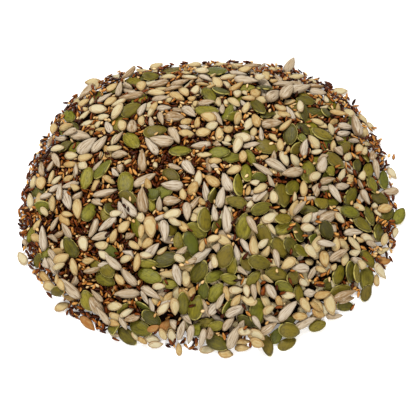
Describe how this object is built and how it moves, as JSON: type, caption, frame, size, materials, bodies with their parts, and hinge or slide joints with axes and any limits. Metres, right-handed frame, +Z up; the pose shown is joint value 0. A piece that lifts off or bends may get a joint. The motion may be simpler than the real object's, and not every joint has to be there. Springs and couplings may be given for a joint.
{
  "type": "heap of mixed seeds",
  "caption": "Loose low heap of mixed hulled pumpkin, sunflower and melon seeds with linseed and sesame between them, oval and flat underneath, as poured on a flat surface.",
  "frame": {"origin": "middle of the flat underside, where the heap rests", "axes": "+X along the heap's long side, to the right seen from the front; +Y to the back; +Z up"},
  "size_m": [0.214, 0.178, 0.032],
  "materials": {
    "mixed_seeds": "dry, dark gaps between seeds and small grains",
    "pumpkin_seed": "satin olive green skin with fine lengthwise lines",
    "sunflower_seed": "matte grey-beige with fine lengthwise lines",
    "melon_seed": "satin cream with tan edges",
    "linseed": "glossy reddish brown",
    "sesame": "satin tan"
  },
  "bodies": {
    "root": {"seed_heap": "mixed_seeds"}
  },
  "joints": []
}
